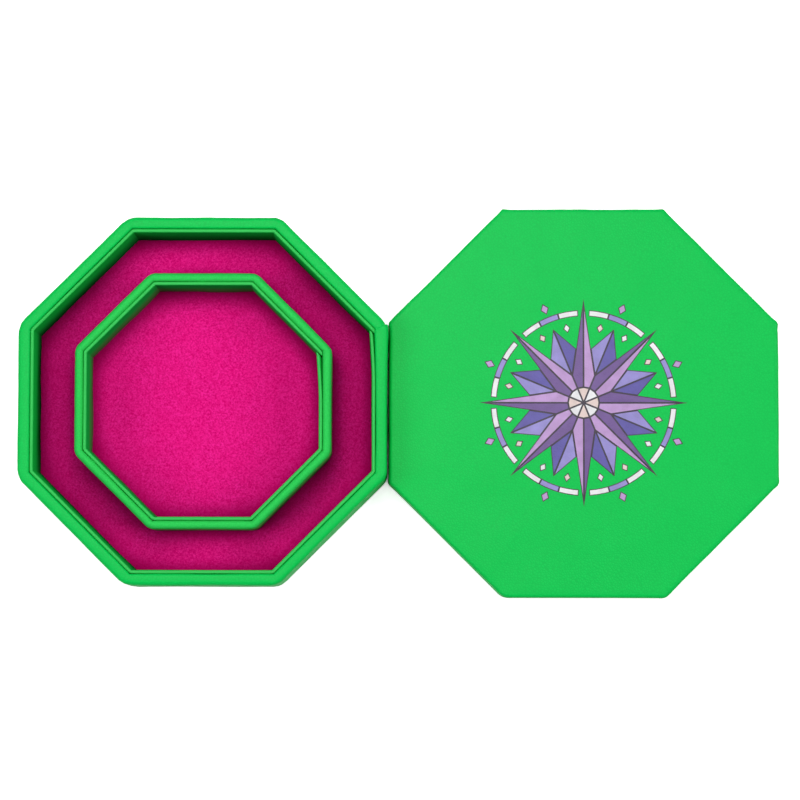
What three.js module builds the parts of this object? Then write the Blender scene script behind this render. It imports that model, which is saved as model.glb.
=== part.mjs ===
// Octagonal dice box: a tray with a rolling well inside a dice channel, and a lift-off lid beside it.
// Every wall is a ring of mitred boards dressed in a folded leather-like skin, with a padded
// liner strip inside it. Millimetres, +Z up. The origin is the centre of the tray's underside.
import * as THREE from "three";

// Tray
const trayFlats = 210;          // across flats, over the skin
const trayHeight = 40;
const trayCorner = 8;           // plan radius of the outer corners
const wallBoard = 4.4;          // thickness of the eight wall boards
const baseBoard = 2.5;
const baseSheet = 0.7;          // sheet glued under the base
const baseSheetInset = 1.6;     // the sheet stops this far inside the outline
const baseFold = 12;            // width of skin folded under the base board
const floorPile = 1.2;          // velvet and its backing
const trayRimRound = 2.2;       // outer edge of the rim
const trayRimInner = 1.7;       // inner edge of the rim

// Ring between the rolling well and the dice channel
const ringFlats = 146.6;
const ringCorner = 5;
const ringBoard = 3;
const ringDrop = 0.4;           // the ring's rim lies this much below the tray's rim
const ringRimRound = 1.9;
const ringRimInner = 1.5;

// Lid
const lidHeight = 25;
const lidCorner = 5;
const lidWallBoard = 4;
const lidPanelBoard = 2.5;
const lidPile = 1;
const lidEdgeRound = 1.4;       // edge between the lid's top and its sides
const lidSlide = 0.9;           // clearance round the tray when the lid is on
const lidGap = 1.5;             // the lid lies this far from the tray

// Skins, liner strips and clearances
const skin = 0.8;
const glueLine = 0.15;
const rimTurnIn = 15;           // depth of skin folded down inside a rim
const linerCard = 0.8;
const linerSkin = 0.5;
const linerGlue = 0.1;
const linerFit = 0.25;          // between a liner strip and the wall behind it
const linerDrop = 0.8;          // a liner's top edge lies this much below its rim
const linerSeam = 0.4;          // between the two ends of a liner strip
const linerLap = 1.9;           // the last end stands this far off the wall, over the first
const linerLapRun = 28;         // length over which the last end bends off the wall
const mitreGap = 0.2;           // between neighbouring boards
const sheetFit = 0.3;           // round a sheet that is laid between walls
const leastCorner = 0.5;        // no plan corner is sharper than this

// Counts
const sides = 8;
const cornerSteps = 4;
const roundSteps = 4;
const finePlies = 3;

const fullTurn = 2 * Math.PI;
const sideTurn = fullTurn / sides;
const halfTurn = sideTurn / 2;
const quarter = Math.PI / 2;

// Sizes that follow from the ones above
const linerWidth = linerCard + 2 * (linerSkin + linerGlue);
const coverTop = baseSheet;
const foldTop = coverTop + skin;
const baseTop = coverTop + baseBoard;
const floorTop = baseTop + floorPile;
const lidOuter = trayFlats / 2 + lidSlide + lidWallBoard + 2 * (skin + glueLine);
const lidX = trayFlats / 2 + lidGap + lidOuter;

// A wall is described by its outer and inner inradius over the skin, the height of its rim,
// and the roundings of the rim's two edges.
function wall(outer, board, top, corner, rimOuter, rimInner) {
  const boardOuter = outer - skin - glueLine;
  const boardInner = boardOuter - board;
  const inner = boardInner - glueLine - skin;
  return { outer, inner, boardOuter, boardInner, top, corner, rimOuter, rimInner };
}

const trayWall = wall(trayFlats / 2, wallBoard, trayHeight, trayCorner, trayRimRound, trayRimInner);
const ringTop = trayHeight - ringDrop;
const ringWall = wall(ringFlats / 2, ringBoard, ringTop, ringCorner, ringRimRound, ringRimInner);
const lidWall = wall(lidOuter, lidWallBoard, lidHeight, lidCorner, lidEdgeRound, lidEdgeRound);

// Plan corners are concentric: a face further in has a smaller radius.
function cornerOf(body) {
  return (inradius) => Math.max(leastCorner, body.corner - (body.outer - inradius));
}

// A profile point is an inradius a and a height z.
function at(a, z) {
  return { a, z };
}

function arc(centre, radius, from, to, steps) {
  const points = [];
  for (let i = 0; i <= steps; i += 1) {
    const angle = from + ((to - from) * i) / steps;
    points.push(at(centre.a + radius * Math.cos(angle), centre.z + radius * Math.sin(angle)));
  }
  return points;
}

// A station is one place on the octagon's outline, as a function from an inradius and its corner
// radius to x and y. A corner's station has the direction of its corner, that of its own normal,
// and a shift along the side.
function station(cornerAngle, normal, shift = 0, along = 0) {
  return (inradius, radius) => {
    const reach = (inradius - radius) / Math.cos(halfTurn);
    const x = reach * Math.cos(cornerAngle) + radius * Math.cos(normal) + shift * Math.cos(along);
    const y = reach * Math.sin(cornerAngle) + radius * Math.sin(normal) + shift * Math.sin(along);
    return [x, y];
  };
}

function placed(point, stop, radiusOf) {
  return [...stop(point.a, radiusOf(point.a)), point.z];
}

function cornerStations(start, steps) {
  const stops = [];
  for (let j = 0; j <= steps; j += 1) {
    stops.push(station(start + halfTurn, start + (sideTurn * j) / steps));
  }
  return stops;
}

function fullLoop(steps = cornerSteps) {
  const stops = [];
  for (let side = 0; side < sides; side += 1) {
    stops.push(...cornerStations(side * sideTurn, steps));
  }
  return stops;
}

// Half a corner, from its mitre plane to the straight side or back again, moved off the mitre
// by half a gap.
function halfCorner(sideAngle, sign, gap, steps = cornerSteps / 2) {
  const shift = (-sign * gap) / 2 / Math.cos(halfTurn);
  const stops = [];
  for (let j = 0; j <= steps; j += 1) {
    const normal = sideAngle + (sign * halfTurn * j) / steps;
    stops.push(station(sideAngle + sign * halfTurn, normal, shift, sideAngle + quarter));
  }
  return sign < 0 ? stops.reverse() : stops;
}

// The y at which a face of side 1 with this inradius has this x, beside side 0.
function faceOfSideOne(inradius, x) {
  return (inradius - x * Math.cos(sideTurn)) / Math.sin(sideTurn);
}

// A liner strip goes once round, from the corner between sides 0 and 1 back to that corner. Its
// first end fills the corner. Its last end bends off the wall and stops against the first.
function linerLoop(liner, steps = cornerSteps) {
  const endX = (inradius) => inradius - linerLap;
  const endY = (inradius) => faceOfSideOne(liner.inner - linerSeam, endX(inradius));
  const bendY = endY(liner.inner) - linerLapRun;
  const stops = [(inradius) => [liner.outer, faceOfSideOne(inradius, liner.outer)]];
  for (let side = 1; side < sides; side += 1) {
    stops.push(...cornerStations(side * sideTurn, steps));
  }
  stops.push((inradius) => [inradius, bendY]);
  stops.push((inradius) => [endX(inradius), endY(inradius)]);
  return stops;
}

function boardRun() {
  return [...halfCorner(0, -1, mitreGap), ...halfCorner(0, 1, mitreGap)];
}

// Skins a profile over its stations. A profile that starts and ends on the axis closes there,
// an unclosed run of stations gets end caps.
function loft(profile, stops, radiusOf, closed) {
  const onAxis = profile[0].a === 0;
  const swept = onAxis ? profile.slice(1, -1) : profile;
  const count = swept.length;
  const positions = [];
  const index = [];
  for (const stop of stops) {
    for (const point of swept) {
      positions.push(...placed(point, stop, radiusOf));
    }
  }
  const rows = closed ? stops.length : stops.length - 1;
  const columns = onAxis ? count - 1 : count;
  for (let i = 0; i < rows; i += 1) {
    const here = i * count;
    const there = ((i + 1) % stops.length) * count;
    for (let j = 0; j < columns; j += 1) {
      const k = (j + 1) % count;
      index.push(here + j, there + j, there + k, here + j, there + k, here + k);
    }
  }
  if (onAxis) {
    const first = positions.length / 3;
    positions.push(0, 0, profile[0].z, 0, 0, profile.at(-1).z);
    for (let i = 0; i < stops.length; i += 1) {
      const here = i * count;
      const there = ((i + 1) % stops.length) * count;
      index.push(first, there, here);
      index.push(first + 1, here + count - 1, there + count - 1);
    }
  } else if (!closed) {
    const outline = swept.map((point) => new THREE.Vector2(point.a, point.z));
    const last = (stops.length - 1) * count;
    for (const [p, q, r] of THREE.ShapeUtils.triangulateShape(outline, [])) {
      index.push(p, q, r, last + r, last + q, last + p);
    }
  }
  return solid(positions, index);
}

function signedVolume(positions, index) {
  const corners = [new THREE.Vector3(), new THREE.Vector3(), new THREE.Vector3()];
  let volume = 0;
  for (let i = 0; i < index.length; i += 3) {
    corners.forEach((corner, k) => corner.fromArray(positions, 3 * index[i + k]));
    volume += corners[0].dot(corners[1].cross(corners[2]));
  }
  return volume;
}

function solid(positions, index) {
  const outward = signedVolume(positions, index) > 0 ? index : index.reverse();
  const geometry = new THREE.BufferGeometry();
  geometry.setAttribute("position", new THREE.Float32BufferAttribute(positions, 3));
  geometry.setIndex(outward);
  geometry.computeVertexNormals();
  return geometry;
}

// The skin's rim, from its outer edge over the top to its inner edge, at a depth below the face.
function rimOver(body, depth) {
  const outerCentre = at(body.outer - body.rimOuter, body.top - body.rimOuter);
  const innerCentre = at(body.inner + body.rimInner, body.top - body.rimInner);
  return [
    ...arc(outerCentre, body.rimOuter - depth, 0, quarter, roundSteps),
    ...arc(innerCentre, body.rimInner - depth, quarter, Math.PI, roundSteps),
  ];
}

// Wall boards stand on what is at standZ and keep a glue line to the skin.
function wallBoardProfile(body, standZ) {
  return [
    at(body.boardOuter, standZ),
    ...rimOver(body, skin + glueLine),
    at(body.boardInner, standZ),
  ];
}

// The ring's skin stands on the floor, goes over the rim and is turned in behind the liner.
function ringSkinProfile(body, standZ) {
  const turnEnd = body.top - rimTurnIn;
  return [
    at(body.outer, standZ),
    ...rimOver(body, 0),
    at(body.inner, turnEnd),
    at(body.inner + skin, turnEnd),
    ...rimOver(body, skin).reverse(),
    at(body.outer - skin, standZ),
  ];
}

// The tray's skin is folded under the base board as well.
function traySkinProfile(body) {
  const turnEnd = body.top - rimTurnIn;
  const foldEnd = body.outer - baseFold;
  const hem = at(body.outer - skin, foldTop);
  return [
    at(foldEnd, coverTop),
    ...arc(hem, skin, -quarter, 0, finePlies),
    ...rimOver(body, 0),
    at(body.inner, turnEnd),
    at(body.inner + skin, turnEnd),
    ...rimOver(body, skin).reverse(),
    hem,
    at(foldEnd, foldTop),
  ];
}

function platePoints(inradius, low, high) {
  return [at(0, low), at(inradius, low), at(inradius, high), at(0, high)];
}

// The base board has a step round its underside, where the folded skin lies flush.
function baseBoardProfile(body) {
  const step = body.outer - baseFold - sheetFit;
  return [
    at(0, coverTop),
    at(step, coverTop),
    at(step, foldTop),
    at(body.boardOuter, foldTop),
    at(body.boardOuter, baseTop),
    at(0, baseTop),
  ];
}

// A liner strip is a scored card under its own thin skin, with a fully rounded top edge.
function linerFaces(body) {
  const outer = body.inner - linerFit;
  return { outer, inner: outer - linerWidth, top: body.top - linerDrop };
}

function linerRound(liner, depth) {
  const radius = linerWidth / 2 - depth;
  const centre = at((liner.outer + liner.inner) / 2, liner.top - linerWidth / 2);
  return arc(centre, radius, 0, Math.PI, 2 * finePlies);
}

function linerCardProfile(liner, standZ) {
  const depth = linerSkin + linerGlue;
  return [
    at(liner.outer - depth, standZ),
    ...linerRound(liner, depth),
    at(liner.inner + depth, standZ),
  ];
}

function linerSkinProfile(liner, standZ) {
  return [
    at(liner.outer, standZ),
    ...linerRound(liner, 0),
    at(liner.inner, standZ),
    at(liner.inner + linerSkin, standZ),
    ...linerRound(liner, linerSkin).reverse(),
    at(liner.outer - linerSkin, standZ),
  ];
}

// The lid's skin covers the panel and the sides, goes under the rim and up inside the walls.
const lidPanelTop = lidHeight - skin - glueLine;
const lidPanelUnder = lidPanelTop - lidPanelBoard;
const lidBoardFoot = skin + glueLine;

function lidSkinProfile(body) {
  const edge = at(body.outer - lidEdgeRound, body.top - lidEdgeRound);
  const turnTop = lidPanelUnder - glueLine;
  return [
    at(0, body.top - skin),
    ...arc(edge, lidEdgeRound - skin, quarter, 0, finePlies),
    at(body.outer - skin, skin),
    at(body.inner + skin, skin),
    at(body.inner + skin, turnTop),
    at(body.inner, turnTop),
    ...arc(at(body.inner + skin, skin), skin, Math.PI, quarter * 3, finePlies),
    ...arc(at(body.outer - skin, skin), skin, -quarter, 0, finePlies),
    ...arc(edge, lidEdgeRound, 0, quarter, roundSteps),
    at(0, body.top),
  ];
}

function lidPanelProfile(body) {
  const radius = lidEdgeRound - skin - glueLine;
  const edge = at(body.outer - lidEdgeRound, body.top - lidEdgeRound);
  return [
    at(0, lidPanelUnder),
    at(body.boardOuter, lidPanelUnder),
    ...arc(edge, radius, 0, quarter, finePlies),
    at(0, lidPanelTop),
  ];
}

function lidBoardProfile(body) {
  return [
    at(body.boardOuter, lidBoardFoot),
    at(body.boardOuter, lidPanelUnder),
    at(body.boardInner, lidPanelUnder),
    at(body.boardInner, lidBoardFoot),
  ];
}

// Finishes
function finish(color, roughness) {
  return new THREE.MeshStandardMaterial({ color, roughness, metalness: 0 });
}

const greenSkin = finish(0x28cd5a, 0.55);
const greenLiner = finish(0x2fd566, 0.5);
const magentaPile = finish(0xc4106e, 0.95);
const greyBoard = finish(0xb3a58c, 0.9);
const underSheet = finish(0x1e8a44, 0.8);

function piece(name, geometry, material) {
  const mesh = new THREE.Mesh(geometry, material.clone());
  mesh.name = name;
  return mesh;
}

function boardSet(name, profile, body) {
  const set = new THREE.Group();
  for (let side = 0; side < sides; side += 1) {
    const board = piece(`${name}_${side + 1}`, loft(profile, boardRun(), cornerOf(body), false), greyBoard);
    board.rotation.z = side * sideTurn;
    set.add(board);
  }
  return set;
}

function linerSet(name, body) {
  const liner = linerFaces(body);
  const stops = linerLoop(liner);
  const card = loft(linerCardProfile(liner, floorTop), stops, cornerOf(body), false);
  const cloth = loft(linerSkinProfile(liner, floorTop), stops, cornerOf(body), false);
  const set = new THREE.Group();
  set.add(piece(`${name}_card`, card, greyBoard));
  set.add(piece(`${name}_skin`, cloth, greenLiner));
  return set;
}

function buildTray() {
  const tray = new THREE.Group();
  const radiusOf = cornerOf(trayWall);
  const underside = platePoints(trayWall.outer - baseSheetInset, 0, coverTop);
  const floor = platePoints(trayWall.boardInner - sheetFit, baseTop, floorTop);
  tray.add(piece("tray_base_sheet", loft(underside, fullLoop(), radiusOf, true), underSheet));
  const base = loft(baseBoardProfile(trayWall), fullLoop(), radiusOf, true);
  tray.add(piece("tray_base_board", base, greyBoard));
  tray.add(piece("tray_floor_velvet", loft(floor, fullLoop(), radiusOf, true), magentaPile));
  tray.add(boardSet("tray_wall_board", wallBoardProfile(trayWall, baseTop), trayWall));
  tray.add(piece("tray_wall_skin", loft(traySkinProfile(trayWall), fullLoop(), radiusOf, true), greenSkin));
  tray.add(linerSet("channel_liner", trayWall));
  return tray;
}

function buildRing() {
  const ring = new THREE.Group();
  const cover = loft(ringSkinProfile(ringWall, floorTop), fullLoop(), cornerOf(ringWall), true);
  ring.add(boardSet("ring_board", wallBoardProfile(ringWall, floorTop), ringWall));
  ring.add(piece("ring_skin", cover, greenSkin));
  ring.add(linerSet("well_liner", ringWall));
  return ring;
}

function buildLid() {
  const lid = new THREE.Group();
  const radiusOf = cornerOf(lidWall);
  const lining = platePoints(lidWall.inner - sheetFit, lidPanelUnder - lidPile, lidPanelUnder);
  lid.add(piece("lid_panel_board", loft(lidPanelProfile(lidWall), fullLoop(), radiusOf, true), greyBoard));
  lid.add(boardSet("lid_wall_board", lidBoardProfile(lidWall), lidWall));
  lid.add(piece("lid_skin", loft(lidSkinProfile(lidWall), fullLoop(), radiusOf, true), greenSkin));
  lid.add(piece("lid_velvet", loft(lining, fullLoop(), radiusOf, true), magentaPile));
  lid.position.x = lidX;
  return lid;
}

const group = new THREE.Group();
group.add(buildTray(), buildRing(), buildLid());

export default group;
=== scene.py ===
"""An octagonal dice box: a tray with a rolling well inside a channel, and its lid beside it.

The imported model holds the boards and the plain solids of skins, strips and linings. This script
dresses them: folded skins of synthetic leather, lapped liner strips, velvet, an ornament printed
on the lid, materials, floor, lights and camera. Lengths are in metres.
"""

import math

import bpy
import numpy as np
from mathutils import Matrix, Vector


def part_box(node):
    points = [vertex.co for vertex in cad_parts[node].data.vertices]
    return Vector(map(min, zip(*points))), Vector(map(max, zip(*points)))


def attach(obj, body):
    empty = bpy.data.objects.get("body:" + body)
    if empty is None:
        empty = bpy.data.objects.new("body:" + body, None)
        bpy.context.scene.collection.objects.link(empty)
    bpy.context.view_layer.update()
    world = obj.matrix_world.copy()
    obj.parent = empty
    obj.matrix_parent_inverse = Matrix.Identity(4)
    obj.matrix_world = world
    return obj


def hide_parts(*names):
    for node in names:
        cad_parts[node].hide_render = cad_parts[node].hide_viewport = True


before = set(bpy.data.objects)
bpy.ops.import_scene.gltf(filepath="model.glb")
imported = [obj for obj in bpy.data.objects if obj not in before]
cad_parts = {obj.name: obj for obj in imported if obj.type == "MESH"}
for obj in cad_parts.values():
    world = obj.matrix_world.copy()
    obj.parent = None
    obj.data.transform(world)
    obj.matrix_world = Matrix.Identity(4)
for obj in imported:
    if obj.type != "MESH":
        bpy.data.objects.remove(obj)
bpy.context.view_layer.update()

MM = 0.001
SIDES = 8
TURN = 2 * math.pi / SIDES
HALF = TURN / 2
QUARTER = math.pi / 2

# Thicknesses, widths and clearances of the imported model
SKIN = 0.8 * MM
GLUE = 0.15 * MM
TRAY_BOARD = 4.4 * MM
RING_BOARD = 3.0 * MM
LID_BOARD = 4.0 * MM
LID_PANEL = 2.5 * MM
BASE_SHEET = 0.7 * MM
BASE_FOLD = 12 * MM
RIM_TURN_IN = 15 * MM
LINER_SKIN = 0.5 * MM
LINER_GLUE = 0.1 * MM
LINER_WIDTH = 2.0 * MM
LINER_FIT = 0.25 * MM
LINER_SEAM = 0.4 * MM
LEAST_CORNER = 0.5 * MM

# Plan corners of skins and sheets. A skin is drawn more tightly round some corners than others.
TRAY_CORNERS = [r * MM for r in (13.5, 10, 14, 14, 12, 12, 11, 10)]
LID_CORNERS = [r * MM for r in (4.0, 2.2, 2.2, 1.5, 4.6, 9.0, 6.2, 4.6)]
RING_CORNERS = [8 * MM] * SIDES
VELVET_CORNERS = [2.4 * MM] * SIDES
LINING_CORNERS = [LEAST_CORNER] * SIDES
CORNER_SHRINK = 2.0             # how much smaller the radii get per depth of a face further in

PILE_SINK = 0.2 * MM            # what stands on the velvet presses this far into its pile

# Mesh spacing
FACE_STEP = 2.4 * MM            # up a face
TOP_STEP = 3.2 * MM             # across the lid's top and the velvet
CROWN_STEP = 0.5 * MM           # across a rim
BACK_STEP = 19.2 * MM           # across the velvet's flat back
UNDER_STEP = 12.8 * MM          # across the hidden side of the lid's skin
ROUND_STEPS = 8                 # round a rim's edge
EDGE_STEPS = 7                  # round the lid's edge
UNDER_EDGE_STEPS = 4            # round the hidden side of that edge
FOLD_STEPS = 5                  # round a hem
ALONG_STEPS = 40                # along a side
CORNER_STEPS = 10               # round a corner
SEAM_CORNER_STEPS = 30          # round the corner where the skins lap

WAVE_SHARES = (0.75, 1.6)       # shortest and longest wave of a field, in its wavelengths
SAME_ANGLE = 1e-6
LEAST_NORMAL = 1e-15            # keeps a normal without a length from dividing by zero


def direction(angle):
    return np.array([math.cos(angle), math.sin(angle)])


def facing(side):
    """The outward normal of a side, and the direction along it."""
    return direction(side * TURN), direction(side * TURN + QUARTER)


def waves(points, wavelength, seed, count=24):
    """A smooth field with a standard deviation of 1 and swells of about this wavelength."""
    random = np.random.default_rng(seed)
    heading = random.normal(size=(count, 3))
    heading /= np.linalg.norm(heading, axis=1)[:, None]
    number = 2 * math.pi / (wavelength * random.uniform(*WAVE_SHARES, count))
    phase = random.uniform(0, 2 * math.pi, count)
    return np.cos(points @ (heading * number[:, None]).T + phase).sum(-1) * math.sqrt(2 / count)


# Meshes

def grid_faces(index, rows_close=False, columns_close=False):
    """Faces of a grid of vertex numbers. Where neighbours share a vertex, a face loses a corner."""
    if rows_close:
        index = np.vstack([index, index[:1]])
    if columns_close:
        index = np.hstack([index, index[:, :1]])
    corners = np.stack([index[:-1, :-1], index[1:, :-1], index[1:, 1:], index[:-1, 1:]], -1)
    faces = [[c for k, c in enumerate(f) if c != f[k - 1]] for f in corners.reshape(-1, 4).tolist()]
    return [f for f in faces if len(f) > 2]


def piece(name, vertices, faces, material, body, stands_for=(), sharp=50):
    """A mesh object that rides on a body, smooth except along edges sharper than an angle."""
    used = sorted({c for f in faces for c in f})
    number = {c: k for k, c in enumerate(used)}
    mesh = bpy.data.meshes.new(name)
    kept = vertices.reshape(-1, 3)[used]
    mesh.from_pydata(kept.tolist(), [], [[number[c] for c in f] for f in faces])
    mesh.shade_smooth()
    mesh.set_sharp_from_angle(angle=math.radians(sharp))
    mesh.materials.append(material)
    made = bpy.data.objects.new(name, mesh)
    bpy.context.scene.collection.objects.link(made)
    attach(made, body)
    if stands_for:
        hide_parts(*stands_for)
    return made


def grid_normals(points, columns_close):
    """Unit normals of a grid whose rows close, which goes up on its outer side."""
    along = np.roll(points, -1, 0) - np.roll(points, 1, 0)
    if columns_close:
        across = np.roll(points, -1, 1) - np.roll(points, 1, 1)
    else:
        across = np.gradient(points, axis=1)
    normal = np.cross(along, across)
    normal /= np.maximum(np.linalg.norm(normal, axis=2), LEAST_NORMAL)[..., None]
    if not columns_close:
        normal[:, 0], normal[:, -1] = normal[:, 1], normal[:, -2]
    return normal


# Octagonal walls and plates

class Outline:
    """Inradius, centre, heights and plan corners of an octagonal piece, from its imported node."""

    def __init__(self, node, corners):
        low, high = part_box(node)
        self.centre = np.array([(low.x + high.x) / 2, (low.y + high.y) / 2])
        self.outer = (high.y - low.y) / 2
        self.foot, self.top = low.z, high.z
        self.corners = np.array(corners)

    def inner(self, board):
        return self.outer - board - 2 * (SKIN + GLUE)


class Loop:
    """Places round an octagon, each with a reach, a normal and each corner's share in its radius.

    A face at inradius a with corner radius r passes through (a - r) * reach + r * normal.
    """

    def __init__(self, corner_steps):
        places = []
        for side in range(SIDES):
            normal, sideways = facing(side)
            before, after = np.eye(SIDES)[side - 1], np.eye(SIDES)[side]
            for t in np.linspace(-1, 1, ALONG_STEPS + 1):
                mix = before * (1 - t) / 2 + after * (1 + t) / 2
                places.append((normal + t * math.tan(HALF) * sideways, normal, mix))
            corner = direction(side * TURN + HALF) / math.cos(HALF)
            for share in np.arange(1, corner_steps[side]) / corner_steps[side]:
                places.append((corner, direction((side + share) * TURN), after))
        self.reach, self.normal, self.mix = (np.array(column) for column in zip(*places))

    def sweep(self, profile, outline):
        """The profile's points at every place. A face further in has smaller corner radii."""
        inradius, height = profile[:, 0], profile[:, 1]
        depth = (outline.outer - inradius)[:, None]
        radius = self.mix @ np.maximum(LEAST_CORNER, outline.corners - CORNER_SHRINK * depth).T
        radius = np.minimum(radius, inradius)
        plan = (inradius - radius)[..., None] * self.reach[:, None]
        plan = plan + radius[..., None] * self.normal[:, None] + outline.centre
        return np.concatenate([plan, np.broadcast_to(height[:, None], plan.shape[:2] + (1,))], 2)


ROUND = Loop([SEAM_CORNER_STEPS] + [CORNER_STEPS] * (SIDES - 1))


def line(start, end, step, skip_ends=False):
    """Points of a straight stretch of a profile."""
    start, end = np.array(start), np.array(end)
    count = max(1, round(np.linalg.norm(end - start) / step))
    points = [tuple(start + (end - start) * k / count) for k in range(count + 1)]
    return points[1:-1] if skip_ends else points


def bend(centre, radius, start, end, steps):
    """Points on a round edge of a profile, from one angle to another."""
    angles = np.linspace(start, end, steps + 1)
    return [(centre[0] + radius * math.cos(t), centre[1] + radius * math.sin(t)) for t in angles]


def crown(outer, inner, top, outer_round, inner_round, dome, depth=0.0):
    """A rim's top from its outer edge over to its inner edge, or the face this deep under it."""
    middle, half = (inner + outer) / 2, (outer - inner) / 2
    outer_centre = (outer - outer_round, top - outer_round)
    inner_centre = (inner + inner_round, top - inner_round)
    ends = (outer_centre[0], top - depth), (inner_centre[0], top - depth)
    over = bend(outer_centre, outer_round - depth, 0, QUARTER, ROUND_STEPS)
    over += line(*ends, CROWN_STEP, skip_ends=True)
    over += bend(inner_centre, inner_round - depth, QUARTER, math.pi, ROUND_STEPS)
    return [(a, z - dome * ((a - middle) / half) ** 2) for a, z in over]


def profile_of(*stretches):
    """Profile rows (inradius, height, share of the unevenness) from pairs of points and share."""
    return np.array([(a, z, share) for points, share in stretches for a, z in points])


def swept_mesh(points, on_axis):
    """Vertices and faces of a swept profile, which closes on itself or ends on the axis."""
    index = np.arange(points.shape[0] * points.shape[1]).reshape(points.shape[:2])
    if on_axis:
        index[:, 0], index[:, -1] = index[0, 0], index[0, -1]
    return points, grid_faces(index, rows_close=True, columns_close=not on_axis)


# Skins

SEAM_TURN_SHARE = 0.55          # where on the seam corner's arc the skin's lapped end lies
SEAM_EDGE = 0.3 * MM            # width of the step down from the lapped end
SEAM_FADE = 18 * MM             # length over which the lap levels out
SEAM_TOP_SHARE = 0.25           # how much of the lap shows on the rim's flat top
SEAM_FOOT = 16 * MM             # height over which the lap comes out above the hem
SEAM_POWER = 3                  # how strictly the lap keeps to the outside
TRAY_SEAM = 1.1 * MM            # height of the step
RING_SEAM = 0.35 * MM

# Height and length of the slow swells, of the ripples on them, and of the puckers round corners
SWELL_HEIGHT, SWELL_LENGTH = 0.07 * MM, 34 * MM
RIPPLE_HEIGHT, RIPPLE_LENGTH = 0.022 * MM, 9 * MM
PUCKER_HEIGHT, PUCKER_LENGTH = 0.06 * MM, 3.8 * MM
PUCKER_REACH = 7 * MM           # how far from a corner

# How much of the unevenness a part of a skin has
HEM_SHARE = 0.5
TURN_IN_SHARE = 0.3
LID_INSIDE_SHARE = 0.5

# How far the skin stands off the board on each side, and how much further at its foot
TRAY_SLACK = [a * MM for a in (0.0, 0.5, 0.25, 0.3, 0.5, 0.75, 0.25, 0.0)]
TRAY_LEAN = [a * MM for a in (0.55, 0.2, 0.2, 0.2, 0.2, 0.2, 0.5, 0.7)]
LID_SLACK = [a * MM for a in (0.65, 0.4, 0.4, 0.5, 0.0, 0.15, 0.25, 0.6)]
LID_LEAN = [a * MM for a in (0.0, 0.0, 0.0, 0.0, 0.7, 0.0, 0.0, 0.0)]
LEAN_POWER = 1.5                # how quickly that fades with the height
SLACK_DEPTH = 2.2 * MM          # only the face itself and what is this close behind it moves


def seam_lap(outline):
    """How far the lapped skin stands out at each place, as a share of its step."""
    angles = np.arctan2(ROUND.normal[:, 1], ROUND.normal[:, 0])
    on_arc = (SEAM_TURN_SHARE * TURN - angles) * outline.corners[0]
    straight = (ROUND.reach - ROUND.normal) @ facing(0)[1]
    left_over = (math.tan(HALF) - straight) * outline.outer
    beyond = np.where(np.abs(angles) < SAME_ANGLE, left_over, 0)
    distance = on_arc + beyond
    lap = np.clip(distance / SEAM_EDGE, 0, 1) * np.exp(-np.maximum(distance, 0) / SEAM_FADE)
    return np.where((angles > -SAME_ANGLE) & (distance > 0), lap, 0)


def corner_nearness(points, outline):
    """1 at the octagon's outer corners, fading away from them."""
    plan = points[..., :2] - outline.centre
    turn = np.arctan2(plan[..., 1], plan[..., 0]) % TURN - HALF
    out = np.linalg.norm(plan, axis=-1)
    away = np.hypot(out * np.sin(turn), outline.outer / math.cos(HALF) - out * np.cos(turn))
    return np.exp(-((away / PUCKER_REACH) ** 2))


def unevenness(points, outline, seed):
    """Leather over boards: slow swells, and fine puckers where it is drawn round the corners."""
    swell = SWELL_HEIGHT * waves(points, SWELL_LENGTH, seed)
    ripple = RIPPLE_HEIGHT * waves(points, RIPPLE_LENGTH, seed + 1)
    pucker = PUCKER_HEIGHT * waves(points, PUCKER_LENGTH, seed + 2)
    return swell + ripple + pucker * corner_nearness(points, outline)


def loosened(points, outline, slack, lean):
    """The skin's outer face, standing off its board, and further towards its foot."""
    height = (points[..., 2] - outline.foot) / (outline.top - outline.foot)
    moved = points.copy()
    for side in range(SIDES):
        normal, _ = facing(side)
        behind = outline.outer - (points[..., :2] - outline.centre) @ normal
        amount = slack[side] + lean[side] * np.clip(1 - height, 0, 1) ** LEAN_POWER
        share = np.clip(1 - behind / SLACK_DEPTH, 0, 1)
        moved[..., :2] += (amount * share)[..., None] * normal
    return moved


def wrap(outline, profile, on_axis, seed, seam=0.0):
    """A skin's points: its profile swept round, with its seam's lap and its unevenness."""
    flat = ROUND.sweep(profile, outline)
    normals = grid_normals(flat, not on_axis)
    share = profile[:, 2]
    outward = np.clip(np.linalg.norm(normals[..., :2], axis=-1), SEAM_TOP_SHARE, 1)
    out_of_hem = np.clip((flat[..., 2] - outline.foot) / SEAM_FOOT, 0, 1)
    outside = share ** SEAM_POWER * outward * out_of_hem
    raised = seam * seam_lap(outline)[:, None] * outside
    raised = raised + unevenness(flat, outline, seed) * share
    return flat + raised[..., None] * normals


def tray_profile(outline):
    outer, inner, top = outline.outer, outline.inner(TRAY_BOARD), outline.top
    outer_round, inner_round, dome = 2.0 * MM, 1.15 * MM, 0.25 * MM
    over = (outer, inner, top, outer_round, inner_round, dome)
    under, turn_end = BASE_SHEET, top - RIM_TURN_IN
    hem, fold = (outer - SKIN, under + SKIN), outer - BASE_FOLD
    shoulder = (inner, top - inner_round - dome)
    return profile_of(
        ([(fold, under), ((fold + hem[0]) / 2, under)], 0),
        (bend(hem, SKIN, -QUARTER, 0, FOLD_STEPS), HEM_SHARE),
        (line((outer, hem[1]), (outer, top - outer_round - dome), FACE_STEP, skip_ends=True), 1),
        (crown(*over), 1),
        (line(shoulder, (inner, turn_end), FACE_STEP, skip_ends=True), TURN_IN_SHARE),
        ([(inner, turn_end), (inner + SKIN, turn_end)], 0),
        (crown(*over, SKIN)[::-1], 0),
        ([(hem[0], (top + hem[1]) / 2), hem, (fold, hem[1])], 0),
    )


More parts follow.
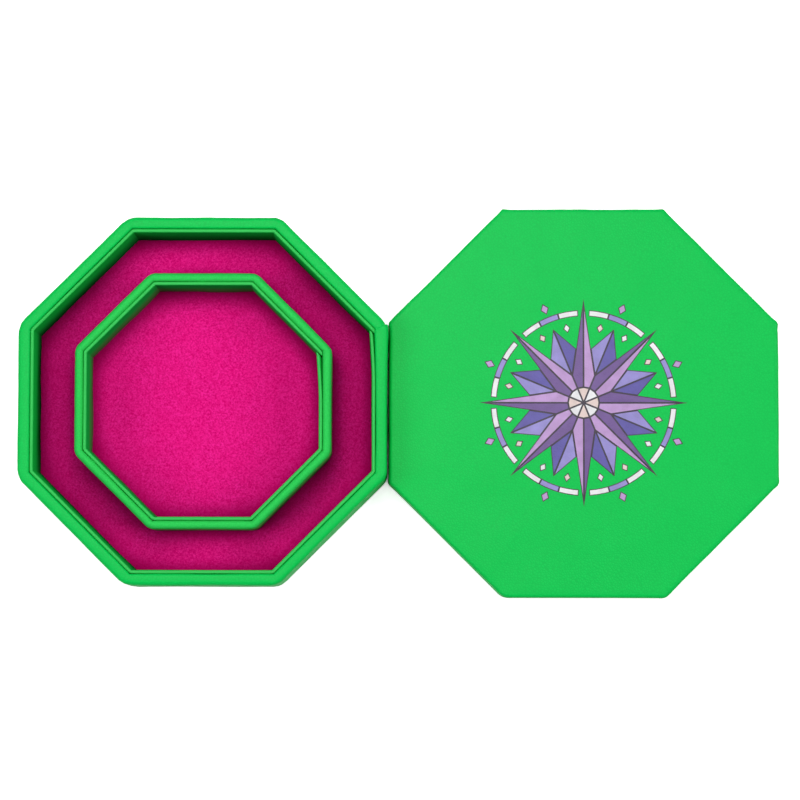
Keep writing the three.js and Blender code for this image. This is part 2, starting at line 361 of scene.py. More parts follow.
def ring_profile(outline):
    outer, inner, top = outline.outer, outline.inner(RING_BOARD), outline.top
    outer_round, inner_round, dome = 2.8 * MM, 1.85 * MM, 0.3 * MM
    over = (outer, inner, top, outer_round, inner_round, dome)
    turn_end, stand = top - RIM_TURN_IN, outline.foot - PILE_SINK
    shoulder = (inner, top - inner_round - dome)
    return profile_of(
        (line((outer, stand), (outer, top - outer_round - dome), FACE_STEP)[:-1], 1),
        (crown(*over), 1),
        (line(shoulder, (inner, turn_end), FACE_STEP, skip_ends=True), TURN_IN_SHARE),
        ([(inner, turn_end), (inner + SKIN, turn_end)], 0),
        (crown(*over, SKIN)[::-1], 0),
        ([(outer - SKIN, (top + stand) / 2), (outer - SKIN, stand)], 0),
    )


def lid_profile(outline):
    outer, inner, top, foot = outline.outer, outline.inner(LID_BOARD), outline.top, outline.foot
    edge = 1.9 * MM
    panel_under = top - SKIN - GLUE - LID_PANEL - GLUE
    centre, hem = (outer - edge, top - edge), foot + SKIN
    hidden = line((0, top - SKIN), (outer - edge, top - SKIN), UNDER_STEP)
    hidden += bend(centre, edge - SKIN, QUARTER, 0, UNDER_EDGE_STEPS)[1:]
    return profile_of(
        (hidden, 0),
        ([(outer - SKIN, hem), (inner + SKIN, hem), (inner + SKIN, panel_under)], 0),
        (line((inner, panel_under), (inner, hem), FACE_STEP), LID_INSIDE_SHARE),
        (bend((inner + SKIN, hem), SKIN, math.pi, 3 * QUARTER, FOLD_STEPS)[1:], 0),
        (bend((outer - SKIN, hem), SKIN, -QUARTER, 0, FOLD_STEPS), 0),
        (line((outer, hem), (outer, top - edge), FACE_STEP, skip_ends=True), 1),
        (bend(centre, edge, 0, QUARTER, EDGE_STEPS), 1),
        (line((outer - edge, top), (0, top), TOP_STEP)[1:], 1),
    )


# Liner strips

STRIP_ALONG_STEPS = 42
STRIP_CORNER_STEPS = 6
STRIP_ROUND_STEPS = 12          # over its rounded top edge
STRIP_END_STEPS = 5             # round its rounded ends
LINER_CORNER = 2.5 * MM
LINER_LAP = 1.6 * MM            # a strip's last end stands this far off the wall
LINER_LAP_RUN = 28 * MM         # length over which it bends off
LAP_POWER = 1.5                 # how softly it starts to bend
LAP_GAP_DEPTH = 2.2 * MM        # below this its back fills the gap behind it
LEAN_TOP = 0.1 * MM             # a strip's top edge leans this far back, onto its wall
BOW_FOOT = 0.45 * MM            # its foot bows off the wall by up to this much
BOW_LENGTH = 30 * MM            # length of the bows along it
BOW_MIDDLE, BOW_SPREAD = 0.5, 0.4


class Strip:
    """A liner strip: once round inside a wall, from the seam corner back to it.

    Its first end fills the corner. Its last end bends off the wall and stops against the first.
    """

    def __init__(self, outline, board, node, seed):
        self.outline, self.seed = outline, seed
        self.outer = outline.inner(board) - LINER_FIT
        self.middle = self.outer - LINER_WIDTH / 2
        self.round = LINER_WIDTH / 2
        low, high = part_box(node)
        self.stand, self.top = low.z - PILE_SINK, high.z

    def section(self, depth):
        """Offsets from the middle and heights, from the outer foot over the top to the inner."""
        centre, half = self.top - self.round, self.round - depth
        up = line((half, self.stand), (half, centre), FACE_STEP)
        over = bend((0, centre), half, 0, math.pi, STRIP_ROUND_STEPS)
        down = [(-offset, height) for offset, height in up[::-1]]
        return np.array(up[:-1] + over + down[1:]), len(up) - 1

    def straight(self, side, along, inward=None, squeeze=1.0):
        """A row of places on a side: a function to plan places, a normal, and how narrow it is."""
        normal, sideways = facing(side)

        def plan(inradius):
            far = along(inradius)
            off = inward(far, inradius) if inward else 0
            return (inradius - off)[:, None] * normal + far[:, None] * sideways
        return plan, normal, squeeze

    def rows(self, depth, lap_share):
        """Every row of places round the strip, for its surface or one this deep under it."""
        tangent = math.tan(HALF)
        inner = self.outer - LINER_WIDTH

        def radius(a):
            return np.maximum(LEAST_CORNER, LINER_CORNER - (self.outer - a))

        def corner_at(a):
            return (a - radius(a)) * tangent

        def start_at(a):
            return a - math.sqrt(2) * self.outer

        def end_at(a):
            return (inner - LINER_SEAM) * math.sqrt(2) + LINER_LAP * lap_share - a

        def lap(far, a):
            run = np.clip(1 - (end_at(a) - far) / LINER_LAP_RUN, 0, 1)
            return LINER_LAP * lap_share * run ** LAP_POWER

        def round_corner(side, angle):
            reach, normal = direction(side * TURN + HALF) / math.cos(HALF), direction(angle)

            def plan(a):
                return (a - radius(a))[:, None] * reach + radius(a)[:, None] * normal
            return plan, normal, 1

        dome = np.linspace(0, QUARTER, STRIP_END_STEPS + 1)
        backs = depth + (self.round - depth) * (1 - np.cos(dome))
        shares = np.linspace(0, 1, STRIP_ALONG_STEPS + 1)
        places = []
        for angle, back in zip(dome[:-1], backs):
            places.append(self.straight(
                1, lambda a, b=back: start_at(a) + b, None, math.sin(angle)))
        for u in shares:
            places.append(self.straight(
                1, lambda a, u=u: (1 - u) * (start_at(a) + self.round) + u * corner_at(a)))
        for side in range(2, SIDES + 1):
            for share in np.arange(1, STRIP_CORNER_STEPS) / STRIP_CORNER_STEPS:
                places.append(round_corner(side - 1, (side - 1 + share) * TURN))
            if side < SIDES:
                for u in shares:
                    places.append(self.straight(side, lambda a, u=u: (2 * u - 1) * corner_at(a)))
        for u in shares:
            places.append(self.straight(
                0, lambda a, u=u: u * (end_at(a) - self.round) - (1 - u) * corner_at(a), lap))
        for angle, back in list(zip(dome, backs))[-2::-1]:
            places.append(self.straight(0, lambda a, b=back: end_at(a) - b, lap, math.sin(angle)))
        return places

    def surface(self, depth):
        """Points and vertex numbers of the strip's surface, or of one this deep under it."""
        section, shoulder = self.section(depth)
        offsets, heights = section[:, 0], section[:, 1]
        centre = self.top - self.round
        low_share = (self.top - heights) / (self.top - self.stand)
        lap_share = np.where(offsets > 0, 1 - np.clip((centre - heights) / LAP_GAP_DEPTH, 0, 1), 1)
        points = []
        for plan, normal, squeeze in self.rows(depth, lap_share):
            place = plan(self.middle + offsets * squeeze)
            height = np.where(heights > centre, centre + (heights - centre) * squeeze, heights)
            spine = np.column_stack([plan(np.full(len(offsets), self.middle)), height])
            bowed = np.clip(BOW_MIDDLE + BOW_SPREAD * waves(spine, BOW_LENGTH, self.seed), 0, 1)
            bow = (bowed * BOW_FOOT + LEAN_TOP) * low_share - LEAN_TOP
            points.append(np.column_stack([place - bow[:, None] * normal, height]))
        points = np.array(points)
        columns = np.arange(len(offsets))
        index = np.arange(points.shape[0])[:, None] * len(offsets) + columns
        tip = np.minimum(np.minimum(columns, columns[::-1]), shoulder)
        index[0], index[-1] = index[0, tip], index[-1, tip]
        return points, index


def liner_core(name, strip, material, node):
    points, index = strip.surface(LINER_SKIN + LINER_GLUE)
    faces = grid_faces(index, columns_close=True)
    return piece(name, points, faces, material, "tray", [node])


def liner_wrap(name, strip, material, node):
    face, outside = strip.surface(0)
    back, inside = strip.surface(LINER_SKIN)
    inside = inside + outside.size
    faces = grid_faces(outside) + grid_faces(inside[:, ::-1])
    faces += grid_faces(np.stack([inside[:, 0], outside[:, 0]], 1))
    faces += grid_faces(np.stack([outside[:, -1], inside[:, -1]], 1))
    vertices = np.concatenate([face.reshape(-1, 3), back.reshape(-1, 3)])
    return piece(name, vertices, faces, material, "tray", [node])


# Velvet linings

PILE_EDGE = 0.35 * MM           # roundness of a sheet's edge
PILE_EDGE_STEPS = 3
PILE_EDGE_SHARE = 0.5           # how much of the unevenness that edge has

# How far the pile is pressed down at most, and the shares of its broad and its fine swells in that
PRESSED_DEPTH = 0.12 * MM
PRESSED_MIDDLE = 0.5
BROAD_SHARE, BROAD_LENGTH = 0.3, 15 * MM
FINE_SHARE, FINE_LENGTH = 0.2, 6 * MM


def velvet_lining(name, node, corners, body, material, side, seed):
    """A velvet sheet whose pile is uneven. side is 1 where the pile faces up, -1 where down."""
    outline = Outline(node, corners)
    edge, pile, back = outline.outer, outline.top, outline.foot
    if side < 0:
        pile, back = back, pile
    centre = (edge - PILE_EDGE, pile - side * PILE_EDGE)
    profile = profile_of(
        (line((0, back), (edge, back), BACK_STEP), 0),
        (bend(centre, PILE_EDGE, 0, side * QUARTER, PILE_EDGE_STEPS), PILE_EDGE_SHARE),
        (line((edge - PILE_EDGE, pile), (0, pile), TOP_STEP)[1:], 1),
    )
    if side < 0:
        profile = profile[::-1]
    points = ROUND.sweep(profile, outline)
    broad = BROAD_SHARE * waves(points, BROAD_LENGTH, seed)
    fine = FINE_SHARE * waves(points, FINE_LENGTH, seed + 1)
    pressed = np.clip(PRESSED_MIDDLE + broad + fine, 0, 1)
    points[..., 2] -= side * PRESSED_DEPTH * pressed * profile[:, 2]
    vertices, faces = swept_mesh(points, on_axis=True)
    made = piece(name, vertices, faces, material, body, [node])
    return made


# The ornament printed on the lid, in polar places about the lid's centre

HUB = 9 * MM
VALLEY = 17 * MM
LONG_TIP = 60 * MM
SHORT_TIP = 46 * MM
SHORT_MEETS_SHARE = 0.35        # where on a long point's edge a short point starts
RING_LOW, RING_HIGH = 50 * MM, 53.6 * MM
RING_CLEAR = math.radians(3.4)  # left open on each side of a long point
RING_SPLITS = 3                 # cells of the ring between two long points
LARGE_DIAMOND = 3.4 * MM, 2.5 * MM      # half its length and half its width
LARGE_RADIUS = 58.4 * MM
SMALL_DIAMOND = 2.8 * MM, 2.1 * MM
SMALL_RADIUS = 44 * MM
SMALL_DIAMONDS = ("white", 0.28), ("blush", 0.72)   # where they lie between two long points
OUTLINE = 0.5 * MM              # width of the dark line round each cell
PRINT_LOW = 0.035 * MM          # height of the dark cells
PRINT_HIGH = 0.07 * MM          # height of the coloured ones on them
PRINT_SINK = 0.03 * MM          # depth of the dark ones in the leather
PRINT_STEP = 4 * MM             # mesh spacing


def polar(radius, angle):
    return radius * direction(angle)


def inset(corners, distance):
    """A convex polygon, anticlockwise, with each edge moved inwards."""
    corners = np.array(corners)
    edges = np.roll(corners, -1, 0) - corners
    edges /= np.linalg.norm(edges, axis=1)[:, None]
    inward = np.column_stack([-edges[:, 1], edges[:, 0]])
    levels = ((corners + distance * inward) * inward).sum(1)
    pairs = [[k - 1, k] for k in range(len(corners))]
    return [np.linalg.solve(inward[pair], levels[pair]) for pair in pairs]


def patch(corners):
    """A grid of places over a triangle or a quadrilateral, which is anticlockwise."""
    a, b, c, d = [corners[0], *corners] if len(corners) == 3 else corners
    length = max(np.linalg.norm(d - a), np.linalg.norm(c - b))
    width = max(np.linalg.norm(b - a), np.linalg.norm(c - d))
    u = np.linspace(0, 1, max(2, math.ceil(length / PRINT_STEP)) + 1)[:, None, None]
    v = np.linspace(0, 1, max(1, math.ceil(width / PRINT_STEP)) + 1)[None, :, None]
    return (1 - u) * ((1 - v) * b + v * a) + u * ((1 - v) * c + v * d)


def arc_patch(low, high, start, end):
    radii = np.linspace(low, high, 2)[:, None]
    steps = math.ceil(high * (end - start) / (PRINT_STEP / 2))
    angles = np.linspace(start, end, steps + 1)[None]
    return np.stack([radii * np.cos(angles), radii * np.sin(angles)], -1)


def slab(places, height_of, low, high, first):
    """A thin closed plate over a grid of places: vertices, and faces numbered from first."""
    height = height_of(places)[..., None]
    top = np.concatenate([places, height + high], 2).reshape(-1, 3)
    under = np.concatenate([places, height + low], 2).reshape(-1, 3)
    upper = np.arange(len(top)).reshape(places.shape[:2])
    if np.allclose(places[0], places[0, 0], rtol=0):
        upper[0] = upper[0, 0]
    lower = upper + len(top)
    faces = grid_faces(upper) + grid_faces(lower[:, ::-1])
    for edge in (np.s_[0, ::-1], np.s_[::-1, -1], np.s_[-1, :], np.s_[:, 0]):
        faces += grid_faces(np.stack([lower[edge], upper[edge]], 1))
    return np.concatenate([top, under]), [[c + first for c in f] for f in faces]


def star_cells():
    """Cells of the ornament: an ink, and a function from an inset to a grid of places."""
    cells = []

    def cell(ink, *corners):
        cells.append((ink, lambda distance: patch(inset(corners, distance))))

    def arc_cell(ink, start, end):
        cells.append((ink, lambda distance: arc_patch(
            RING_LOW + distance, RING_HIGH - distance,
            start + distance / RING_HIGH, end - distance / RING_HIGH)))

    def diamond(ink, radius, angle, along, across):
        out, aside = along * direction(angle), across * direction(angle + QUARTER)
        middle = polar(radius, angle)
        cell(ink, middle - out, middle - aside, middle + out, middle + aside)

    for k in range(SIDES):
        axis, left, right = k * TURN, k * TURN + HALF, k * TURN - HALF
        tip, next_tip = polar(LONG_TIP, axis), polar(LONG_TIP, axis + TURN)
        short_tip, valley, hub = polar(SHORT_TIP, left), polar(VALLEY, left), polar(HUB, axis)
        cell("plum", hub, tip, valley, polar(HUB, left))
        cell("lilac", hub, polar(HUB, right), polar(VALLEY, right), tip)
        cell(("blush", "white")[k % 2], polar(0, 0), polar(HUB, right), hub, polar(HUB, left))
        cell("indigo", valley, valley + SHORT_MEETS_SHARE * (tip - valley), short_tip)
        cell("sky", valley, short_tip, valley + SHORT_MEETS_SHARE * (next_tip - valley))
        diamond("lilac", LARGE_RADIUS, left, *LARGE_DIAMOND)
        for name, share in SMALL_DIAMONDS:
            diamond(name, SMALL_RADIUS, axis + share * TURN, *SMALL_DIAMOND)
        span = (TURN - 2 * RING_CLEAR) / RING_SPLITS
        for j in range(RING_SPLITS):
            start = axis + RING_CLEAR + j * span
            arc_cell(("white", "sky")[j % 2], start, start + span)
    return cells


def print_ornament(inks, centre, height_of):
    """One thin piece for each ink: dark cells, and coloured ones inset on them."""
    layers = {"outline": [cell(0) for _, cell in star_cells()]}
    for name, cell in star_cells():
        layers.setdefault(name, []).append(cell(OUTLINE))
    for name, patches in layers.items():
        low, high = PRINT_LOW / 2, PRINT_HIGH
        if name == "outline":
            low, high = -PRINT_SINK, PRINT_LOW
        vertices, faces = np.empty((0, 3)), []
        for places in patches:
            made, new = slab(places + centre, height_of, low, high, len(vertices))
            vertices = np.concatenate([vertices, made])
            faces += new
        piece(f"lid_print_{name}", vertices, faces, inks[name], "lid")


# Materials

NOISE_SPAN = 0.3, 0.7           # between these lie most of a noise's values
NOISE_MIDDLE = 0.5, 0.5, 0.5

# Leather
GRAIN = 1.5 * MM                # size of its pebbles
GRAIN_HEIGHT = 0.03 * MM
GRAIN_DRIFT = 2.2 * MM, 0.35 * MM       # size and reach of the noise that moves them about
CREASE_WIDTH = 0.32             # from a crease to a pebble's full height, in pebbles
CREASE_SPAN = 0.0, 0.5          # heights over which a crease's colour ends
CREASE_TONE = 0.93              # that colour, as a share of the leather's dark one
FINE_SIZE, FINE_HEIGHT = 0.45, 0.4      # of the finer pebbles, as shares of the large ones
CLOUD_SIZE = 22 * MM
SATIN = 0.36, 0.46              # roughness
MATT = 0.6, 0.75
LINER_LIGHT, LINER_DARK = (0.012, 0.60, 0.080), (0.010, 0.58, 0.070)
LINER_GRAIN = 0.9 * MM
LINER_GRAIN_HEIGHT = 0.012 * MM
LINER_FOOT = 5 * MM             # below this a strip has the darkest of its painted shade
# painted highlight: the lighter colour on a strip's top edge
PAINTED_HIGHLIGHT_COLOUR = (0.055, 0.57, 0.12)
HIGHLIGHT_RUN = 0.55 * MM             # height over which a strip's top edge takes on its painted highlight
SHEET_GRAIN = 1.1 * MM
SHEET_GRAIN_HEIGHT = 0.05 * MM

# Velvet
LIVELY_TONES = (0.60, 0.0, 0.118), (0.94, 0.021, 0.325)     # dark and light flecks, brushed up
CALM_TONES = (0.66, 0.0, 0.145), (0.92, 0.018, 0.285)       # and lying down
# painted shade: the pile's darkest colour where walls stand close
WALL_SHADE_COLOUR = (0.36, 0.0, 0.077)
WALL_SHADE_REACH = 17 * MM             # walls this close darken the pile, as painted shade
WALL_SHADE_SPAN = 0.42, 0.82        # openness over which that ends
PILE_SIZE = 1.0 * MM
PILE_HEIGHT = 0.2 * MM
FLECK_SPAN = 0.34, 0.66
BRUSH_SIZE = 9 * MM
BRUSH_DRIFT = 14 * MM, 4 * MM   # size and reach of the noise that moves the patches about
BRUSH_SPAN = 0.35, 0.75

# Board
BOARD_TONES = (0.24, 0.20, 0.15), (0.56, 0.49, 0.38)        # dark and pale fibres
FIBRE_SIZE = 1.6 * MM
FIBRE_HEIGHT = 0.05 * MM

# Print
INK_CLOUDS = 6 * MM
INK_DEEP_TONE = 0.80            # the clouds' darker colour, as a share of the ink's own
INK_GRAIN_HEIGHT = 0.04 * MM


class Finish:
    """A node material: one principled shader, with textures in the object's own metres."""

    def __init__(self, name, **settings):
        self.material = bpy.data.materials.new(name)
        self.material.use_nodes = True
        self.tree = self.material.node_tree
        self.shader = self.tree.nodes["Principled BSDF"]
        self.place = self.tree.nodes.new("ShaderNodeTexCoord").outputs["Object"]
        for socket, value in settings.items():
            self.shader.inputs[socket.replace("_", " ")].default_value = value

    def node(self, kind, inputs, **settings):
        made = self.tree.nodes.new(f"ShaderNode{kind}")
        for key, value in settings.items():
            setattr(made, key, value)
        for socket, value in inputs.items():
            if isinstance(value, bpy.types.NodeSocket):
                self.tree.links.new(value, made.inputs[socket])
            else:
                made.inputs[socket].default_value = value
        return made

    def drive(self, socket, value):
        self.tree.links.new(value, self.shader.inputs[socket])

    def noise(self, size, detail=3.0, rough=0.55, place=None):
        inputs = {"Vector": place or self.place, "Scale": 1 / size}
        inputs.update(Detail=detail, Roughness=rough)
        return self.node("TexNoise", inputs).outputs["Fac"]

    def openness(self, distance):
        """1 in the open, and less where something stands within this distance."""
        return self.node("AmbientOcclusion", {"Distance": distance}, samples=8).outputs["AO"]

    def wandering(self, size, reach):
        """The object's places, each moved by up to this reach by a noise of this size."""
        noise = self.node("TexNoise", {"Vector": self.place, "Scale": 1 / size, "Detail": 2.0})
        middle = {0: noise.outputs["Color"], 1: NOISE_MIDDLE}
        around = self.node("VectorMath", middle, operation="SUBTRACT").outputs[0]
        scaled = {0: around, "Scale": 2 * reach}
        shift = self.node("VectorMath", scaled, operation="SCALE").outputs[0]
        return self.node("VectorMath", {0: self.place, 1: shift}).outputs[0]

    def pebbles(self, size, place):
        """Height of leather's pebbles: 0 in the creases between them, 1 on top."""
        inputs = {"Vector": place, "Scale": 1 / size, "Randomness": 1.0}
        cells = self.node("TexVoronoi", inputs, feature="DISTANCE_TO_EDGE")
        return self.spread(cells.outputs["Distance"], 0.0, CREASE_WIDTH, curve="SMOOTHSTEP")

    def spread(self, value, low, high, to_low=0.0, to_high=1.0, curve="LINEAR"):
        """A value moved from one span to another."""
        inputs = {"Value": value, "From Min": low, "From Max": high}
        inputs.update({"To Min": to_low, "To Max": to_high})
        return self.node("MapRange", inputs, interpolation_type=curve).outputs["Result"]

    def tinted(self, share, first, second):
        """A colour between two, by a share from 0 to 1."""
        mix = self.node("Mix", {}, data_type="RGBA")
        factor, *colours = [socket for socket in mix.inputs if socket.enabled]
        self.tree.links.new(share, factor)
        for socket, colour in zip(colours, (first, second)):
            if isinstance(colour, bpy.types.NodeSocket):
                self.tree.links.new(colour, socket)
            else:
                socket.default_value = (*colour, 1)
        return next(socket for socket in mix.outputs if socket.enabled)

    def raised(self, height, distance, under=None):
        """A normal that follows a height, over another normal if there is one."""
        inputs = {"Height": height, "Distance": distance}
        if under:
            inputs["Normal"] = under
        return self.node("Bump", inputs).outputs["Normal"]


def leather(name, light, dark, gloss, grain=GRAIN, grain_height=GRAIN_HEIGHT, roughness=SATIN,
            foot=None, painted_highlight=None):
    """Embossed synthetic leather: pebbles with creases, finer ones on them, and a cloudy tone.

    foot gives the heights between which a wall darkens, and the colour that it ends in below:
    painted shade. The last argument gives the heights between which the top edge is painted
    lighter, a painted highlight, and the colour there.
    """
    finish = Finish(name, Specular_IOR_Level=gloss)
    place = finish.wandering(*GRAIN_DRIFT)
    coarse = finish.pebbles(grain, place)
    fine = finish.noise(FINE_SIZE * grain, detail=2.0, place=place)
    base = finish.tinted(finish.spread(finish.noise(CLOUD_SIZE), *NOISE_SPAN), dark, light)
    creased = tuple(CREASE_TONE * c for c in dark)
    colour = finish.tinted(finish.spread(coarse, *CREASE_SPAN), creased, base)
    height = finish.node("SeparateXYZ", {"Vector": finish.place}).outputs["Z"]
    # Painted shade: darker towards a wall's foot
    if foot:
        low, high, shaded = foot
        colour = finish.tinted(finish.spread(height, low, high), shaded, colour)
    # Painted highlight: lighter along the top edge
    if painted_highlight:
        low, high, highlight_colour = painted_highlight
        colour = finish.tinted(finish.spread(height, low, high), colour, highlight_colour)
    finish.drive("Base Color", colour)
    finish.drive("Roughness", finish.spread(fine, *NOISE_SPAN, *roughness))
    bumped = finish.raised(coarse, grain_height)
    finish.drive("Normal", finish.raised(fine, FINE_HEIGHT * grain_height, bumped))
    return finish.material


def liner_leather(name, shade_top, foot_shade_colour, highlight_from):
    """Thinner strip leather: painted shade towards the velvet, a painted highlight on its top edge.
    """
    foot = (LINER_FOOT, shade_top, foot_shade_colour)
    painted_highlight = (highlight_from, highlight_from + HIGHLIGHT_RUN, PAINTED_HIGHLIGHT_COLOUR)
    return leather(name, LINER_LIGHT, LINER_DARK, gloss=0.0, grain=LINER_GRAIN,
                   grain_height=LINER_GRAIN_HEIGHT, foot=foot, painted_highlight=painted_highlight)


def velvet():
    """Short cut pile: fine speckle, brushed patches, coloured sheen, painted shade between walls.
    """
    finish = Finish("magenta_velvet", Roughness=0.95, Specular_IOR_Level=0.0, Sheen_Weight=0.12,
                    Sheen_Roughness=0.4, Sheen_Tint=(1.0, 0.03, 0.42, 1))
    speckle = finish.noise(PILE_SIZE, rough=0.65)
    brushed = finish.noise(BRUSH_SIZE, rough=0.6, place=finish.wandering(*BRUSH_DRIFT))
    flecked = finish.spread(speckle, *FLECK_SPAN)
    lively = finish.tinted(flecked, *LIVELY_TONES)
    calm = finish.tinted(flecked, *CALM_TONES)
    colour = finish.tinted(finish.spread(brushed, *BRUSH_SPAN), calm, lively)
    # Painted shade: the pile darkens where walls stand close, over the rendered shade
    shaded = finish.spread(finish.openness(WALL_SHADE_REACH), *WALL_SHADE_SPAN)
    finish.drive("Base Color", finish.tinted(shaded, WALL_SHADE_COLOUR, colour))
    pile = finish.noise(PILE_SIZE, detail=4.0, rough=0.7)
    finish.drive("Normal", finish.raised(pile, PILE_HEIGHT))
    return finish.material


def cardboard():
    """Grey board with pale and dark fibres."""
    finish = Finish("grey_board", Roughness=0.9, Specular_IOR_Level=0.2)
    fibres = finish.noise(FIBRE_SIZE, detail=6.0, rough=0.7)
    finish.drive("Base Color", finish.tinted(fibres, *BOARD_TONES))
    finish.drive("Normal", finish.raised(fibres, FIBRE_HEIGHT))
    return finish.material


def printed_ink(name, colour):
    """Printed ink, cloudy, with the leather's pebbles showing through."""
    finish = Finish(name, Roughness=0.42)
    grain = finish.pebbles(GRAIN, finish.wandering(*GRAIN_DRIFT))
    deep = tuple(INK_DEEP_TONE * c for c in colour)
    clouds = finish.spread(finish.noise(INK_CLOUDS, detail=4.0), *NOISE_SPAN)
    finish.drive("Base Color", finish.tinted(clouds, deep, colour))
    finish.drive("Normal", finish.raised(grain, INK_GRAIN_HEIGHT))
    return finish.material


# One leather in lit copies: the tray's a little lighter than the lid's, and the ring's lighter and
# redder again, a painted highlight for its bright crest. The ring's foot colour is painted shade.
TRAY_GREEN = leather("tray_leather", (0.003, 0.60, 0.092), (0.003, 0.58, 0.087), gloss=0.10)
LID_GREEN = leather("lid_leather", (0.0035, 0.585, 0.090), (0.003, 0.565, 0.085), gloss=0.10)
RING_GREEN = leather("ring_leather", (0.034, 0.65, 0.105), (0.030, 0.63, 0.100), gloss=0.03,
                     foot=(8 * MM, 39 * MM, (0.001, 0.05, 0.006)))
# Painted shade towards the strips' feet; in the well it ends in a brown that also paints a
# reflection of the velvet. Each top edge has a painted highlight.
CHANNEL_GREEN = liner_leather("channel_leather", 30 * MM, (0.004, 0.075, 0.012), 38.6 * MM)
WELL_GREEN = liner_leather("well_leather", 27 * MM, (0.10, 0.11, 0.05), 38.2 * MM)
SHEET_GREEN = leather("base_leather", (0.010, 0.26, 0.06), (0.006, 0.20, 0.045), gloss=0.16,
                      grain=SHEET_GRAIN, grain_height=SHEET_GRAIN_HEIGHT, roughness=MATT)
VELVET = velvet()
BOARD = cardboard()
INK_COLOURS = {
    "outline": (0.020, 0.009, 0.028),
    "plum": (0.150, 0.070, 0.290),
    "lilac": (0.520, 0.310, 0.640),
    "sky": (0.300, 0.260, 0.640),
    "indigo": (0.095, 0.075, 0.380),
    "white": (0.860, 0.860, 0.880),
    "blush": (0.800, 0.640, 0.600),
}


# Assembly

def build_tray():
    outline = Outline("tray_wall_skin", TRAY_CORNERS)
    points = wrap(outline, tray_profile(outline), on_axis=False, seed=11, seam=TRAY_SEAM)
    vertices, faces = swept_mesh(loosened(points, outline, TRAY_SLACK, TRAY_LEAN), on_axis=False)
    piece("tray_wrap", vertices, faces, TRAY_GREEN, "tray", ["tray_wall_skin"])
    strip = Strip(outline, TRAY_BOARD, "channel_liner_skin", seed=31)
    liner_core("channel_strip_card", strip, BOARD, "channel_liner_card")
    liner_wrap("channel_strip", strip, CHANNEL_GREEN, "channel_liner_skin")
    velvet_lining("floor_velvet", "tray_floor_velvet", VELVET_CORNERS, "tray", VELVET, side=1,
                  seed=51)


def build_ring():
    outline = Outline("ring_skin", RING_CORNERS)
    points = wrap(outline, ring_profile(outline), on_axis=False, seed=21, seam=RING_SEAM)
    vertices, faces = swept_mesh(points, on_axis=False)
    piece("ring_wrap", vertices, faces, RING_GREEN, "tray", ["ring_skin"])
    strip = Strip(outline, RING_BOARD, "well_liner_skin", seed=41)
    liner_core("well_strip_card", strip, BOARD, "well_liner_card")
    liner_wrap("well_strip", strip, WELL_GREEN, "well_liner_skin")


def build_lid():
    outline, seed = Outline("lid_skin", LID_CORNERS), 61
    points = wrap(outline, lid_profile(outline), on_axis=True, seed=seed)
    vertices, faces = swept_mesh(loosened(points, outline, LID_SLACK, LID_LEAN), on_axis=True)
    piece("lid_wrap", vertices, faces, LID_GREEN, "lid", ["lid_skin"])
    velvet_lining("lid_lining", "lid_velvet", LINING_CORNERS, "lid", VELVET, side=-1,
                  seed=71)

    def height_of(places):
        level = np.full(places.shape[:2] + (1,), outline.top)
        return outline.top + unevenness(np.concatenate([places, level], 2), outline, seed)

    inks = {name: printed_ink(f"ink_{name}", colour) for name, colour in INK_COLOURS.items()}
    print_ornament(inks, outline.centre, height_of)


def finish_boards():
    for name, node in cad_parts.items():
        for slot in node.material_slots:
            slot.material = SHEET_GREEN if name == "tray_base_sheet" else BOARD


# Floor, light and camera

WHITE = (1, 1, 1, 1)
FLOOR_REACH = 6.0
FLOOR_DROP = 0.1 * MM           # the floor lies this far under the tray
FLOOR_TONES = (0.88, 0.88, 0.88), (0.90, 0.90, 0.90)
FLOOR_CLOUDS = 400 * MM
FLOOR_GLOW = 0.75               # added to the floor's look, where nothing stands close to it
GLOW_CLEAR = 14 * MM            # how close that is
GLOW_SPAN = 0.14, 0.34          # openness over which the glow comes in

LIT_PLACE = (0.1, 0.0, 0.02)    # what every light faces
BACKDROP_LIGHT = 0.08           # strength with which the backdrop lights the object
BACKDROP_SEEN = 1.0             # strength that the camera sees

CAMERA_PLACE = (0.1080, -0.1172, 1.7483)
CAMERA_TURN = (3.939, -0.158, 0.064)    # degrees
CAMERA_LENS = 135.11                    # mm
SENSOR_WIDTH = 36                       # mm


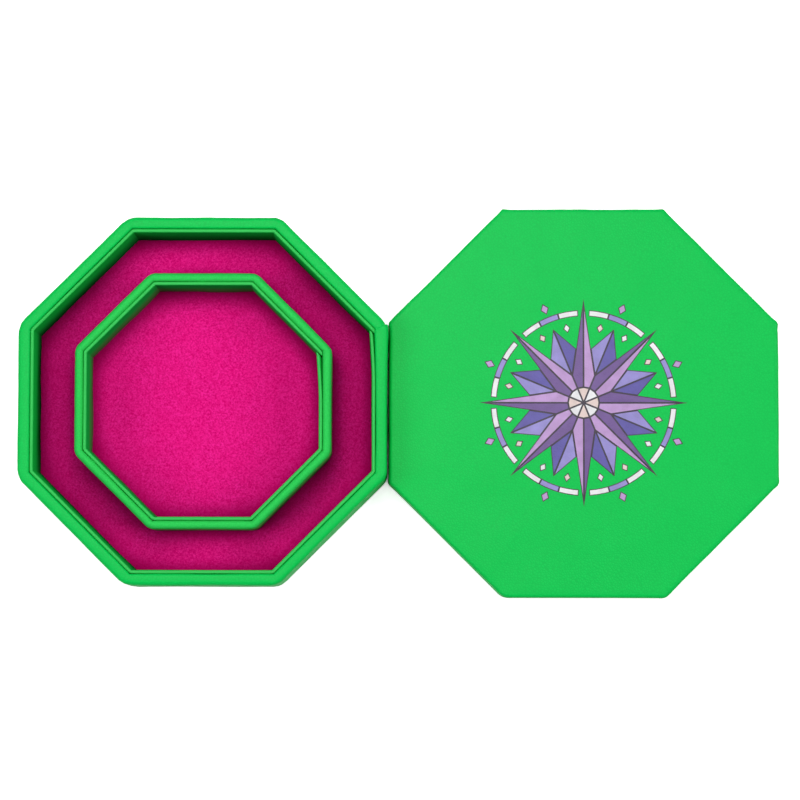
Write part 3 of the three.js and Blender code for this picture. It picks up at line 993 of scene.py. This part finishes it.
def build_floor():
    mesh = bpy.data.meshes.new("floor")
    plan = FLOOR_REACH * np.array([(-1, -1), (1, -1), (1, 1), (-1, 1)])
    mesh.from_pydata([(x, y, -FLOOR_DROP) for x, y in plan.tolist()], [], [(0, 1, 2, 3)])
    finish = Finish("floor", Roughness=0.9, Specular_IOR_Level=0.0, Emission_Color=WHITE)
    shade = finish.noise(FLOOR_CLOUDS, detail=2.0)
    finish.drive("Base Color", finish.tinted(shade, *FLOOR_TONES))
    glow = finish.spread(finish.openness(GLOW_CLEAR), *GLOW_SPAN, to_high=FLOOR_GLOW)
    seen = finish.node("LightPath", {}).outputs["Is Camera Ray"]
    shown = finish.node("Math", {0: glow, 1: seen}, operation="MULTIPLY").outputs["Value"]
    finish.drive("Emission Strength", shown)
    mesh.materials.append(finish.material)
    floor = bpy.data.objects.new("floor", mesh)
    bpy.context.scene.collection.objects.link(floor)


def softbox(name, azimuth, elevation, distance, size, watts):
    """A square light that faces the object from a direction given in degrees."""
    level = math.cos(math.radians(elevation)) * direction(math.radians(azimuth))
    towards = Vector((*level, math.sin(math.radians(elevation))))
    light = bpy.data.lights.new(name, "AREA")
    light.shape, light.size, light.energy = "SQUARE", size, watts
    lamp = bpy.data.objects.new(name, light)
    bpy.context.scene.collection.objects.link(lamp)
    lamp.location = Vector(LIT_PLACE) + distance * towards
    lamp.rotation_euler = (-towards).to_track_quat("-Z", "Y").to_euler()


def build_light():
    world = bpy.data.worlds.new("studio")
    world.use_nodes = True
    backdrop = world.node_tree.nodes["Background"]
    backdrop.inputs["Color"].default_value = WHITE
    seen = world.node_tree.nodes.new("ShaderNodeLightPath").outputs["Is Camera Ray"]
    strength = world.node_tree.nodes.new("ShaderNodeMapRange")
    strength.inputs["To Min"].default_value = BACKDROP_LIGHT
    strength.inputs["To Max"].default_value = BACKDROP_SEEN
    world.node_tree.links.new(seen, strength.inputs["Value"])
    world.node_tree.links.new(strength.outputs["Result"], backdrop.inputs["Strength"])
    bpy.context.scene.world = world
    softbox("key", azimuth=0, elevation=45, distance=2.0, size=0.9, watts=15.5)
    softbox("high", azimuth=108, elevation=77, distance=1.5, size=0.7, watts=11.8)
    softbox("fill", azimuth=188, elevation=45, distance=2.0, size=0.9, watts=12.5)


def build_camera():
    camera = bpy.data.cameras.new("camera")
    camera.sensor_width, camera.lens = SENSOR_WIDTH, CAMERA_LENS
    made = bpy.data.objects.new("camera", camera)
    made.location = CAMERA_PLACE
    made.rotation_euler = [math.radians(angle) for angle in CAMERA_TURN]
    bpy.context.scene.collection.objects.link(made)
    bpy.context.scene.camera = made
    bpy.context.scene.view_settings.view_transform = "Standard"


build_camera()
build_light()
build_floor()
finish_boards()
build_tray()
build_ring()
build_lid()
